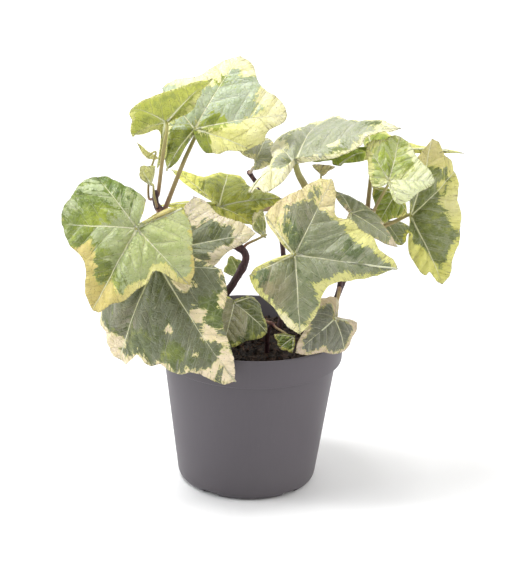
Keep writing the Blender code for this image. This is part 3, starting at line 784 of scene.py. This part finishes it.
# %% Paint for each leaf
# Each is the green, grey and pale colour, how common grey is (-1 to 1), the width of the pale
# edge in mm and its strength, and the dabs of each zone or tint: lobe, share, radius in mm, and
# how much is added, or the colour of the tint.
PAINT = {
    "leaf_front_left": ((0.21, 0.26, 0.045), SAGE, MUSTARD, -0.5, 1.3, 0.4, {
        "pale": ((1, 0.6, 24, -1.0), (2, 0.6, 15, -0.8), (3.2, 0.75, 8, 1.4), (2.3, 0.75, 5, 1.7),
            (2.5, 0.95, 6, 1.8), (2.75, 0.97, 5, 1.5), (2.2, 0.45, 5, 0.9), (3, 0.97, 8, 1.7),
            (3.4, 0.97, 4, 0.9), (4, 1.0, 5, 1.0), (4.6, 0.97, 5, 1.7), (5, 0.98, 5, 1.3),
            (7, 0.75, 7, 1.8)),
        "green_tint": ((1, 0.6, 19, (0.115, 0.19, 0.022)), (1.9, 0.45, 9, BRIGHT),
            (2.9, 0.6, 9, (0.21, 0.25, 0.04))),
        "grey": ((2.35, 0.5, 7, 0.6), (5, 0.5, 20, 1.5), (6, 0.6, 18, 1.2), (3.5, 0.35, 7, 0.9),
            (1.2, 0.85, 6, 1.0), (1.7, 0.92, 4, 0.9)),
        "pale_tint": ((4.4, 0.97, 13, (0.78, 0.75, 0.32)), (6, 0.97, 5, (0.6, 0.62, 0.2))),
        "grey_tint": ((5.5, 0.6, 14, (0.55, 0.58, 0.28)), (4.3, 0.5, 12, (0.42, 0.46, 0.2)),
            (1.2, 0.85, 7, (0.5, 0.56, 0.36)))}),
    "leaf_lower_left": ((0.115, 0.14, 0.045), SLATE, BLUSH, 0.35, 1.4, 0.35, {
        "pale": ((3.05, 0.98, 5, 1.9), (3.12, 0.85, 4.5, 2.0), (3.2, 0.72, 5, 2.0),
            (3.3, 0.6, 5, 1.9), (3.6, 0.46, 4.5, 2.1), (3.8, 0.38, 4, 2.0), (2.8, 0.85, 3, 1.4),
            (2.65, 0.78, 3, 1.4), (2.3, 0.6, 3, 1.7), (2.9, 0.75, 5, -1.0), (2.6, 1.0, 3.5, 1.2),
            (1, 0.97, 5, 1.8), (0.85, 0.82, 4, 1.5), (0.6, 0.97, 4, 1.2), (3.5, 1.0, 5, -1.5),
            (3.3, 1.02, 4, -1.0)),
        "grey": ((3.55, 0.95, 7, -1.8), (3.3, 1.0, 5, -1.5), (2.3, 0.8, 5, -1.5),
            (1.5, 0.9, 8, -1.2), (2.9, 0.55, 4, 0.8)),
        "green_tint": ((3.55, 0.95, 9, (0.12, 0.16, 0.03)), (2.3, 0.8, 7, (0.17, 0.21, 0.03))),
        "grey_tint": ((0.9, 0.6, 9, (0.3, 0.27, 0.22)),)}),
    "leaf_mid_left": (JADE, (0.25, 0.265, 0.185), (0.83, 0.72, 0.56), 0.7, 1.8, 0.7, {
        "pale": ((3, 0.9, 9, 1.6), (2.55, 0.95, 6, 1.4), (2, 0.82, 5, 1.8), (1.4, 0.92, 5, 1.6),
            (1, 0.95, 6, 1.4), (2.8, 0.55, 4, 1.2), (0.4, 0.7, 9, -0.5)),
        "grey": ((2.3, 0.6, 5, -1.0), (1.7, 0.85, 4, -1.2))}),
    "leaf_lime_mid": ((0.38, 0.4, 0.045), (0.48, 0.5, 0.2), (0.66, 0.65, 0.15), -0.5, 1.6, 0.4, {
        "pale": ((0, 0.7, 16, 0.9), (4, 0.7, 12, 0.6), (1, 0.8, 8, 0.6)),
        "grey": ((2, 0.6, 8, 0.6),),
        "green_tint": ((3, 0.5, 10, (0.32, 0.34, 0.05)),)}),
    "leaf_top": (BRIGHT, (0.47, 0.52, 0.4), (0.8, 0.75, 0.47), 0.6, 4.5, 0.8, {
        "pale": ((1.3, 0.6, 13, 1.9), (1, 0.85, 9, 1.6), (0.7, 0.5, 6, 1.0), (2, 0.9, 13, 1.2),
            (3, 0.9, 10, 1.1), (3.5, 0.8, 10, 0.9), (0, 0.9, 6, -2.2), (5, 0.6, 14, -1.5),
            (2.2, 0.42, 9, -1.2), (2.5, 0.5, 8, -0.9), (2.55, 0.95, 5, -1.3), (3.0, 0.35, 5, -0.8),
            (4, 0.9, 6, -1.0), (2.9, 0.8, 3, -0.9)),
        "pale_tint": ((1.2, 0.5, 16, (0.8, 0.78, 0.3)),),
        "grey": ((0, 0.9, 7, -1.8), (5, 0.6, 15, -1.5), (2.0, 0.25, 5, -1.6), (3.2, 0.7, 4, -1.2)),
        "green_tint": ((5, 0.6, 17, (0.25, 0.29, 0.04)),)}),
    # Painted light: this leaf hangs in shade, and its greens are painted brighter than its own
    # colour to stand for light shining through it from behind.
    "leaf_top_left": ((0.54, 0.58, 0.05), (0.45, 0.5, 0.06), (0.8, 0.8, 0.3), -0.5, 1.6, 0.5, {
        "pale": ((0, 0.6, 9, 1.4),),
        "green_tint": ((3, 0.6, 16, (0.6, 0.63, 0.06)),)}),
    "leaf_top_centre": ((0.18, 0.22, 0.07), (0.42, 0.43, 0.33), (0.8, 0.76, 0.5), 0.8, 1.5, 0.6, {
        "pale": ((3.3, 0.75, 7, 1.4), (3, 0.85, 9, 1.2), (0.6, 0.5, 4, 1.8), (4, 0.9, 8, 1.3),
            (4.2, 0.6, 7, 0.95), (5, 0.6, 5, 1.0), (1, 0.85, 11, 1.1), (2, 0.85, 7, 1.1),
            (2.5, 0.9, 5, 1.0)),
        "grey": ((0, 0.9, 6, -1.4), (3, 0.9, 6, -1.3), (2.6, 0.9, 5, -1.0),
            (1.2, 0.85, 5, -1.0))}),
    "leaf_top_back": (FERN, (0.42, 0.41, 0.34), CREAM, 0.9, 1.4, 0.4, {}),
    "leaf_lime_back": ((0.3, 0.38, 0.03), LIME, (0.66, 0.66, 0.22), -0.3, 2.0, 0.4, {
        "pale": ((2, 0.8, 20, 0.9), (3, 0.7, 20, 0.9), (0, 0.6, 20, -0.8))}),
    "leaf_front_right": ((0.13, 0.17, 0.065), (0.22, 0.24, 0.14), (0.64, 0.62, 0.24),
        0.6, 1.8, 0.55, {
        "pale": ((5, 0.85, 10, 1.8), (4.5, 0.95, 6, 1.6), (4, 0.92, 5, 1.6), (3.8, 0.8, 5, 1.8),
            (3, 0.93, 5, 1.8), (2.75, 0.88, 4, 1.4), (2.35, 1.0, 3, 0.8), (1.6, 0.95, 4, 1.7),
            (1.45, 0.85, 4, 1.5), (1, 0.98, 4, 1.3), (0.7, 0.97, 4, 1.0)),
        "pale_tint": ((4.6, 0.8, 16, (0.64, 0.52, 0.34)), (4, 0.8, 12, (0.66, 0.56, 0.32)),
            (0.75, 0.9, 8, CREAM), (0, 0.9, 8, (0.45, 0.42, 0.12))),
        "grey_tint": ((0.3, 0.85, 10, (0.28, 0.23, 0.13)), (4.3, 0.6, 9, (0.24, 0.23, 0.15)),
            (2, 0.5, 12, (0.3, 0.31, 0.22))),
        "grey": ((0, 0.95, 7, -1.2), (4.7, 0.35, 6, -1.4), (2.4, 0.6, 6, -0.8),
            (1.3, 0.5, 5, -0.7))}),
    "leaf_low_right": ((0.085, 0.11, 0.05), (0.155, 0.155, 0.12), (0.56, 0.45, 0.34),
        0.7, 1.8, 0.7, {
        "pale": ((0, 0.8, 6, 1.6), (1, 0.9, 4, 1.2), (4, 0.9, 4, 0.8), (2.5, 0.95, 3, 0.8),
            (2, 0.9, 3, 0.5)),
        "pale_tint": ((0.5, 0.8, 8, TAN),)}),
    "leaf_low_mid": ((0.14, 0.19, 0.02), ASH, (0.45, 0.42, 0.12), -0.8, 0.9, 0.5, {}),
    "leaf_low_left": ((0.1, 0.12, 0.022), (0.27, 0.25, 0.15), (0.4, 0.4, 0.1), -0.6, 1.1, 0.5, {
        "grey": ((1, 0.55, 8, 1.7), (0.3, 0.6, 6, 1.2))}),
    "leaf_behind": ((0.19, 0.26, 0.03), FERN, STRAW, -0.8, 0.7, 0.4, {}),
    "leaf_right_top": ((0.4, 0.45, 0.075), (0.5, 0.54, 0.24), (0.7, 0.74, 0.46), 0.1, 1.5, 0.5, {
        "pale": ((0.6, 0.7, 9, 2.0), (0, 0.85, 6, 1.6), (1, 0.85, 6, 1.6), (3, 0.95, 5, 0.8),
            (3.5, 0.95, 5, 0.9), (1.6, 0.95, 4, 0.7), (2.3, 0.5, 7, -0.7)),
        "pale_tint": ((3.4, 0.9, 12, BUTTER),),
        "green_tint": ((2.6, 0.5, 8, (0.33, 0.41, 0.05)),)}),
    "leaf_right_hanging": ((0.17, 0.2, 0.045), (0.24, 0.26, 0.14), (0.62, 0.6, 0.18),
        -0.1, 3.0, 0.9, {
        "pale": ((1.5, 0.35, 8, -1.6), (3.4, 0.4, 7, -1.3), (1.3, 0.6, 5, -1.0),
            (0.5, 0.6, 6, 1.7), (0.3, 0.8, 7, 1.5), (2.4, 0.8, 9, 1.4), (3.0, 0.6, 6, 1.3),
            (4, 0.85, 10, 1.6), (1, 0.97, 6, 1.2), (1.6, 0.97, 5, 0.5), (1.9, 1.0, 4, -0.8)),
        "pale_tint": ((4, 0.85, 15, (0.54, 0.48, 0.22)), (2.5, 0.8, 9, (0.6, 0.57, 0.28)))}),
    "leaf_right_lime": ((0.25, 0.31, 0.03), LIME, (0.56, 0.52, 0.16), -0.8, 1.0, 0.5, {}),
    "leaf_right_low": (FERN, (0.3, 0.33, 0.2), (0.62, 0.6, 0.1), 0.5, 1.3, 0.6, {}),
    "leaf_right_long": ((0.12, 0.17, 0.06), (0.3, 0.31, 0.21), (0.6, 0.5, 0.38), 0.7, 1.1, 0.5, {
        "pale": ((2, 0.9, 4, 0.6), (1, 0.9, 4, 0.8))}),
    "leaf_young_cream": (FERN, ASH, BLUSH, 0.0, 5.0, 1.0, {}),
    "leaf_young_middle": (FERN, ASH, CREAM, 0.0, 1.5, 0.5, {}),
    "leaf_bud_left": (LIME, LIME, (0.66, 0.62, 0.24), 0.0, 5.0, 1.0, {}),
    "leaf_bud_low": (LIME, LIME, (0.68, 0.66, 0.3), 0.0, 5.0, 1.0, {}),
}
# Some points of an outline are only corners of the edge, with no vein of their own.
VEINED = {
    "leaf_front_left": (1, 2, 3, 5, 6), "leaf_lower_left": (0, 1, 3, 4),
    "leaf_mid_left": (1, 2, 3), "leaf_top": (1, 2, 3, 4, 5), "leaf_top_left": (0, 1, 2, 3),
    "leaf_top_centre": (1, 2, 3, 4), "leaf_front_right": (0, 1, 2, 4, 5),
    "leaf_low_right": (0, 2, 3, 4), "leaf_low_left": (1, 2, 3), "leaf_right_top": (0, 1, 2, 3),
    "leaf_right_hanging": (1, 3, 4),
}
print(len(PAINT), "leaves have their own paint")

# %% [markdown]
# ### The shape of a blade
# Between two tips the edge is pulled in towards the stalk, or swells a little, and it stands out
# of the plane there. The blade is then lifted: grooves along the veins, a quilt between them,
# slanting ribs, a slow wave, and an edge that frills and droops. Big leaves get more of it.

# %% The edge of a leaf
# The edge beside a tip lies between the tip and the middle of the gap: TIP_SHARE is the tip's
# part in it and SHOULDER the sum of both parts. The back lobes are drawn round by BACK_LOBE.
TIP_SHARE, SHOULDER, BACK_LOBE = 0.55, 1.06, (0.62, 0.16)
NOTCH_SHARE, LEAST_NOTCH = 0.06, 1.3
PUCKER, EDGE_TEETH, BLADE_ARCH = 0.035, 0.012, 0.06


def margin(tips, fullness, steps):
    """The edge as points round the leaf, each tip's place in that list, and where it faces."""
    length = max(tip.length for tip in tips)
    face = sum((a.cross(b) for a, b in zip(tips, tips[1:])), Vector()).normalized()
    open_angle = math.tau - sum(a.angle(b) for a, b in zip(tips, tips[1:]))
    behind = Matrix.Rotation(-open_angle / 2, 3, face) @ tips[0].normalized()
    notch = behind * max(NOTCH_SHARE * length, LEAST_NOTCH)
    between = [(a + b) * 0.5 * full for a, b, full in zip(tips, tips[1:], fullness)]
    before, after = [], []
    for i, tip in enumerate(tips):
        outer = tip * BACK_LOBE[0] + behind * BACK_LOBE[1] * tip.length
        before.append(tip * TIP_SHARE + between[i - 1] * (SHOULDER - TIP_SHARE) if i else outer)
        after.append(tip * TIP_SHARE + between[i] * (SHOULDER - TIP_SHARE)
                     if i + 1 < len(tips) else outer)
    edge, marks = smooth_line([notch, before[0], tips[0]], steps)[:-1], []
    for i, tip in enumerate(tips[:-1]):
        marks.append(len(edge))
        middle = between[i] + face * PUCKER * length
        edge += smooth_line([tip, after[i], middle, before[i + 1], tips[i + 1]], steps)[:-1]
    marks.append(len(edge))
    edge += smooth_line([tips[-1], after[-1], notch], steps)
    return np.array([tuple(p) for p in edge]), marks, face


# %% The blade: a fan of spokes cut into rings
def blade_grid(tips, fullness, veined):
    """Points in mm from the junction, and what each knows about its veins."""
    length = max(tip.length for tip in tips)  # bigger leaves get more points
    steps = int(min(9, max(4, length / 5)))
    rings = int(min(34, max(10, length * 0.75)))
    edge, marks, face = margin(tips, fullness, steps)
    nibbled = np.array([noise.noise(Vector(p) * 0.45) for p in edge])
    edge = edge * (1 + EDGE_TEETH * nibbled[:, None])
    share = np.linspace(0, 1, rings + 1)
    flat = share[:, None, None] * edge[None]
    spokes = len(edge)
    veins = np.array([tuple(tips[i].normalized()) for i in veined])
    lines = [marks[i] for i in veined]
    gaps = [(a + b) // 2 for a, b in zip(lines, lines[1:])]
    lobe = np.searchsorted(gaps, np.arange(spokes - 1) + 0.5)
    along = np.einsum("rkc,tc->trk", flat, veins)
    across = np.linalg.norm(flat[None] - along[..., None] * veins[:, None, None], axis=3)
    across = np.where(along < 0, np.linalg.norm(flat, axis=2)[None], across)
    side = np.where(np.arange(spokes)[None] < np.array(lines)[:, None], -1.0, 1.0)
    return SimpleNamespace(
        edge=edge, marks=marks, lines=lines, face=np.array(face), length=length, rings=rings,
        spokes=spokes, share=share, flat=flat, veins=veins, lobe=lobe, along=along,
        across=across, side=side)


# How strong each part of the relief is, in mm on a leaf of 50 mm.
GROOVE, QUILT, RIPPLE, WAVE, FRILL, DROOP = 0.55, 1.5, 0.8, 2.2, 1.3, 0.9
RIB_SLANT, LEAST_SPACING, RIBS_ON_A_VEIN = 0.8, 2.2, 5.5


def rib_spacing(length):
    """The distance between side veins, in mm; small leaves have closer ones."""
    return max(LEAST_SPACING, length / RIBS_ON_A_VEIN)


def relief(grid, seed):
    """How far each point is lifted, in mm: grooves, quilt, ribs, wave and drooping edge."""
    size = grid.length / 50  # 1 for a leaf of 50 mm
    near = grid.across.min(axis=0)
    share = grid.share[:, None]
    groove = -GROOVE * size ** 0.5 * np.exp(-(near / 1.1) ** 2) * (1 - 0.6 * share)
    quilt = QUILT * size * (1 - np.exp(-(near / (7 * size)) ** 2))
    spacing = rib_spacing(grid.length)
    ripple = np.zeros_like(near)
    for t in range(len(grid.veins)):
        columns = np.where(grid.lobe == t)[0]
        columns = np.unique(np.concatenate([columns, columns + 1]))
        middle = grid.lines[t]
        width = max(1, np.abs(columns - middle).max())
        fade = 1 - (np.abs(columns - middle) / width) ** 3
        beside = grid.across[t][:, columns]
        phase = (grid.along[t][:, columns] - beside * RIB_SLANT) / spacing
        wave = np.abs(np.cos(math.pi * (phase + 0.25 * grid.side[t][columns]))) ** 0.7
        reach = 1 - np.exp(-(beside / 2.5) ** 2)
        ripple[:, columns] = np.maximum(ripple[:, columns], wave * fade * reach)
    low = np.array([[noise.noise(Vector(p) * 0.035 + Vector((seed, 0, 0))) for p in row]
                    for row in grid.flat])
    frill = np.array([noise.noise(Vector(p) * 0.11 + Vector((0, seed, 0)))
                      for p in grid.edge])
    wave = low * WAVE * size * share + frill[None] * FRILL * size * share ** 3
    droop = -DROOP * size * share ** 4
    return groove + quilt * (1 - 0.4 * share ** 2) + ripple * RIPPLE * size + wave + droop


def surface_normals(points, face):
    """Unit normals of a grid of points, on the side that face points to."""
    out = np.gradient(points, axis=0)
    round_ = np.roll(points, -1, axis=1) - np.roll(points, 1, axis=1)
    round_[:, 0] = points[:, 1] - points[:, 0]
    round_[:, -1] = points[:, -1] - points[:, -2]
    normal = np.cross(out, round_)
    size = np.linalg.norm(normal, axis=2, keepdims=True)
    normal = np.where(size > 1e-9, normal / np.maximum(size, 1e-9), face)
    normal = np.where((normal @ face)[..., None] < -0.2, -normal, normal)
    normal[0] = face
    return normal


# %% Painting: washes and dabs become numbers and colours on the points
def painted(grid, green, grey, pale, grey_share, rim_width, rim_strength, washes):
    """The fields 'pale' and 'grey' and the three zone colours, at every point of the grid."""
    flat, edge, marks = grid.flat, grid.edge, grid.marks
    to_edge = np.min(np.linalg.norm(flat[:, :, None, :] - edge[None, None, ::2], axis=3), axis=2)
    fields = {"pale": np.maximum(rim_strength * (1 - to_edge / rim_width), -1.0),
              "grey": np.full(to_edge.shape, grey_share), "to_edge": to_edge}
    for key, colour in (("green_tint", green), ("grey_tint", grey), ("pale_tint", pale)):
        fields[key] = np.broadcast_to(colour, (*to_edge.shape, 3)).copy()
    dabs = [(what, *dab) for what, wash in washes.items() for dab in wash]
    for what, lobe, share, radius, amount in dabs:
        i = min(int(lobe), len(marks) - 1)
        ahead = marks[min(i + 1, len(marks) - 1)]
        at = edge[int(round(marks[i] + (ahead - marks[i]) * (lobe - i)))] * share
        soft = np.exp(-(np.linalg.norm(flat - at, axis=2) / radius) ** 2)
        if isinstance(amount, tuple):
            fields[what] += (np.array(amount) - fields[what]) * soft[..., None]
        else:
            fields[what] += amount * soft
    return fields


# %% From grid to mesh
def leaf_mesh(name, grid, junction, fields, seed):
    """The blade as a mesh in place, with all that its finish reads stored on it."""
    rings, spokes = grid.rings, grid.spokes
    share = grid.share[:, None, None]
    lift = grid.face * BLADE_ARCH * grid.length * 4 * share * (1 - share)
    base = grid.flat + lift
    normals = surface_normals(base, grid.face)
    points = base + normals * relief(grid, seed)[..., None]
    points = (points + np.array(junction)) * MM
    index = np.arange((rings + 1) * spokes).reshape(rings + 1, spokes)
    index[0] = index[0, 0]
    faces, corner_lobe = [], []
    for r in range(rings):
        for k in range(spokes - 1):
            corners = [(r, k), (r + 1, k), (r + 1, k + 1), (r, k + 1)]
            faces.append(corners[:3] if r == 0 else corners)
            corner_lobe.append(grid.lobe[k])
    mesh = mesh_of(name, points.reshape(-1, 3).tolist(),
                   [[int(index[c]) for c in face] for face in faces])
    along, across, side = grid.along, grid.across, grid.side
    vein = np.array([(along[t][c], across[t][c] * side[t][c[1]], t * 7.0 + seed)
                     for face, t in zip(faces, corner_lobe) for c in face])
    store(mesh, "vein_place", "FLOAT_VECTOR", vein, "CORNER")
    main = Vector(grid.veins[np.argmax(np.abs(along).max(axis=(1, 2)))])
    cross = Vector(grid.face).cross(main).normalized()
    u, v = grid.flat @ np.array(main), grid.flat @ np.array(cross)
    store(mesh, "leaf_place", "FLOAT_VECTOR", np.stack([u, v, np.full_like(u, seed)], axis=2))
    for key in ("pale", "grey", "to_edge"):
        store(mesh, key, "FLOAT", fields[key])
    store(mesh, "share", "FLOAT", np.broadcast_to(grid.share[:, None], u.shape))
    store(mesh, "rib", "FLOAT", np.full_like(u, rib_spacing(grid.length)))
    solid = np.ones((*u.shape, 1))
    for key in ("green_tint", "grey_tint", "pale_tint"):
        store(mesh, key, "FLOAT_COLOR", np.concatenate([fields[key], solid], axis=2))
    bm = bmesh.new()
    bm.from_mesh(mesh)
    bmesh.ops.delete(bm, geom=[v for v in bm.verts if not v.link_faces], context="VERTS")
    bm.to_mesh(mesh)
    bm.free()
    for face in mesh.polygons:
        face.use_smooth = True
    return mesh


# %% [markdown]
# ### The leaf's finish
# The zones come from the painted fields, broken up by small cells: each cell takes one side or
# the other, so the border between green and cream is jagged as in the real leaf, where it
# follows the finest veins. Main veins are pale lines where the distance to the vein is small.
# Side veins leave them at a slant: a sawtooth of the distance along minus the distance across
# gives a family of slanting lines. Under them all lies a fine net.


# %% Leaf skin, upper and under
def leaf_skin(name, under):
    """The finish of one side of a blade."""
    made, start = finish(name, 0.4, Specular_IOR_Level=0.5, Subsurface_Weight=0.25,
                         Subsurface_Scale=0.0012, Subsurface_Radius=(1.0, 1.0, 0.35))
    spot = attribute(start, "leaf_place", "Vector")
    vein = attribute(start, "vein_place", "Vector")
    pale, grey = attribute(start, "pale"), attribute(start, "grey")
    share, rib, to_edge = [attribute(start, key) for key in ("share", "rib", "to_edge")]
    along = vein.make("SeparateXYZ", None, {"Vector": vein})
    across_signed, seed = along.output(1), along.output(2)
    sway = spot.noise(0.09, 1.0) - 0.5
    across = abs(across_signed + sway * share * 2.0)

    # Cells that follow the side veins, finer ones of the net, and strokes along the side veins.
    slant = start.make("CombineXYZ", None, {
        "X": along - across * RIB_SLANT, "Y": across_signed * 0.4, "Z": seed})
    cell, cell_b = slant.cells(0.5)
    fine, fine_b = spot.cells(1.05)
    strokes = slant.scaled(1.5, 0.35, 1.0).noise(1.0, 3.0, 0.65)
    drift, drift_b = spot.noise(0.17, 4.0, 0.65), (spot + 40.0).noise(0.15, 4.0, 0.62)
    broken = ((cell - 0.5) * 0.55 + (fine - 0.5) * 0.3 + (drift - 0.5) * 2.2
              + (strokes - 0.5) * 1.2)
    pale_zone = (pale + broken).step(-0.07, 0.07)
    patchy = ((cell_b - 0.5) * 0.7 + (fine_b - 0.5) * 0.3 + (drift_b - 0.5) * 2.0
              + (strokes - 0.5) * 0.9)
    grey_zone = (grey + patchy).step(-0.14, 0.14)

    # Vein lines: the main ones taper outwards, side veins lean, and a net joins them.
    thin = (0.48 - share * 0.31) * (rib * 0.065 + 0.35)
    main = 1.0 - (across / thin).step(0.45, 1.15)
    halo = 1.0 - (across / thin).step(0.8, 5.0)
    lean = along - across * RIB_SLANT + sway * 1.5
    beside = across_signed.math("SIGN", across_signed) * 0.25
    saw = (lean / rib + beside).fract()
    off = abs(saw - 0.5) * rib
    ribs = (1.0 - off.step(0.08, 0.30)) * (1.0 - share.step(0.7, 1.0)) * across.step(0.1, 0.6)
    net = spot.make("TexVoronoi", {"feature": "DISTANCE_TO_EDGE"},
                    {"Vector": spot, "Scale": 0.42})
    net = 1.0 - net.step(0.0, 0.10)

    # Each zone has its own light and dark washes before the zones are put together.
    green, ashen, light = [attribute(start, key, "Color")
                           for key in ("green_tint", "grey_tint", "pale_tint")]
    mottle, wash = spot.noise(0.6, 4.0, 0.65), (spot + 90.0).noise(0.2, 3.0, 0.6)
    green = green.tinted((0.52, 0.57, 0.40), wash.step(0.42, 0.66) * 0.9)
    green = green.mix((0.46, 0.50, 0.08), (1.0 - wash.step(0.30, 0.47)) * 0.35)
    ashen = ashen.tinted((0.66, 0.74, 0.52), cell * 0.35 + wash.step(0.4, 0.65) * 0.5)
    ashen = ashen.mix((0.52, 0.52, 0.44), strokes.step(0.54, 0.72) * 0.4)
    light = light.tinted((0.86, 0.88, 0.62), drift_b.step(0.42, 0.62) * 0.45)
    light = light.tinted((0.84, 0.74, 0.60), strokes.step(0.52, 0.68) * 0.35)
    seam = 1.0 - abs(pale + broken - 0.05).step(0.0, 0.22)
    colour = green.mix(ashen, grey_zone).mix(light, pale_zone).mix((0.46, 0.48, 0.09), seam * 0.5)
    # Beside each main vein the blade is a little darker; towards the side veins a little lighter.
    hollow = (off / rib).step(0.08, 0.42)
    colour = colour.tinted((0.64, 0.68, 0.50), hollow * (1.0 - pale_zone) * 0.38)
    # Over it lie the veins and their net, then old bruises: a thin dry outline, dark strokes in
    # from the edge, and brown flecks. The under side is paler, with clearer veins.
    rim = 1.0 - (to_edge + (mottle - 0.5) * 1.6).step(0.1, 0.6)
    bruise = strokes.step(0.56, 0.62) * (1.0 - to_edge.step(1.0, 3.5)) * pale_zone
    fleck = spot.noise(1.5, 0.0).step(0.78, 0.82)
    layers = [((0.52, 0.54, 0.33), halo * 0.12),
              ((0.64, 0.64, 0.44), ribs * (0.34 - pale_zone * 0.22)),
              ((0.84, 0.83, 0.60), main * 0.9),
              ((0.60, 0.62, 0.42), net * (0.10 - pale_zone * 0.07)),
              ((0.15, 0.13, 0.05), rim * 0.75), ((0.20, 0.18, 0.08), bruise * 0.7),
              ((0.12, 0.085, 0.03), fleck * 0.6)]
    if under:
        layers += [((0.50, 0.53, 0.27), 0.25), ((0.66, 0.68, 0.42), main * 0.5)]
    for over, strength in layers:
        colour = colour.mix(over, strength)
    # Veins sink into the upper side and stand out of the under side.
    if under:
        lumps = main * 0.8 + ribs * 0.5 + net * 0.2 + mottle * 0.3
    else:
        swell = 1.0 - abs(saw - 0.5) * 2.0
        lumps = ((0.0 - main) * 0.25 - ribs * 0.3 - net * 0.22 - swell * swell * 0.6
                 + mottle * 0.5 + wash * 1.2)
    rough = 0.25 + mottle * 0.22 + pale_zone * 0.1 + (0.2 if under else 0.0)
    apply(made, Base_Color=colour, Roughness=rough, Normal=bump(lumps, 1.0, 0.0010))
    return made


upper_skin = leaf_skin("leaf_upper_skin", False)
under_skin = leaf_skin("leaf_under_skin", True)
print("leaf finish:", len(upper_skin.node_tree.nodes), "nodes")

# %% [markdown]
# ### Growing the leaves
# Each blade is a thin sheet given its real thickness. Its stalk leaves the side of the vine at
# the height in the table, swings out and meets the blade from below. One stalk is stouter than
# its leaf's length suggests.

# %% Grow every leaf
BLADE_THICKNESS, SEED_STEP = 0.32, 13.7
STALK_RADIUS, STOUT = 1.25, {"leaf_top_centre": 1.7}
STALK_STEPS, STALK_SIDES, STALK_LUMPS, STALK_TAPER = 6, 12, 0.06, 0.4


def where_on(vine, height):
    """The last place where a vine passes a height above the rim: point, direction, radius."""
    line, taper = vine
    for i in reversed(range(1, len(line) - 1)):
        low, high = line[i], line[i + 1]
        if min(low.z, high.z) <= POT_HEIGHT + height <= max(low.z, high.z):
            share = (POT_HEIGHT + height - low.z) / (high.z - low.z)
            return low.lerp(high, share), (high - low).normalized(), taper[i]
    return line[-1], (line[-1] - line[-2]).normalized(), taper[-1]


for number, (name, (vine, height, joint, layout, fullness)) in enumerate(LEAVES.items()):
    junction = RIM + Vector(joint)
    tips = [RIM + Vector(tip) - junction for tip in layout]
    grid = blade_grid(tips, fullness, VEINED.get(name, range(len(tips))))
    fields = painted(grid, *PAINT[name])
    mesh = leaf_mesh(name + "_blade", grid, junction, fields, number * SEED_STEP + 1.0)
    blade = piece(name + "_blade", mesh, name, "leaf", upper_skin, under_skin)
    solid = blade.modifiers.new("thickness", "SOLIDIFY")
    solid.thickness, solid.offset = BLADE_THICKNESS * MM, -1.0
    solid.material_offset = 1

    spot, ahead, thick = where_on(stems[vine], height)
    towards = junction - spot
    out = (towards - ahead * towards.dot(ahead)).normalized()
    base = spot + out * thick * 0.5
    lead = base + out * 3.0
    reach = junction - lead
    face = Vector(grid.face)
    under = junction - face * min(0.25 * reach.length, 6.0)
    middle = lead + reach * 0.55 - face * 0.05 * reach.length
    line = smooth_line([base, lead, middle, under, junction - face * 0.2], STALK_STEPS)
    radius = STALK_RADIUS * min(1.0, 0.4 + grid.length / 70) * STOUT.get(name, 1.0)
    radii = [radius * (1.0 - STALK_TAPER * i / len(line))
             * (1 + 0.35 * math.exp(-(i / 1.5) ** 2)) for i in range(len(line))]
    stalk = rod(name + "_stalk", line, radii, STALK_SIDES, STALK_LUMPS)
    piece(name + "_stalk", stalk, name, "leaf", skin)
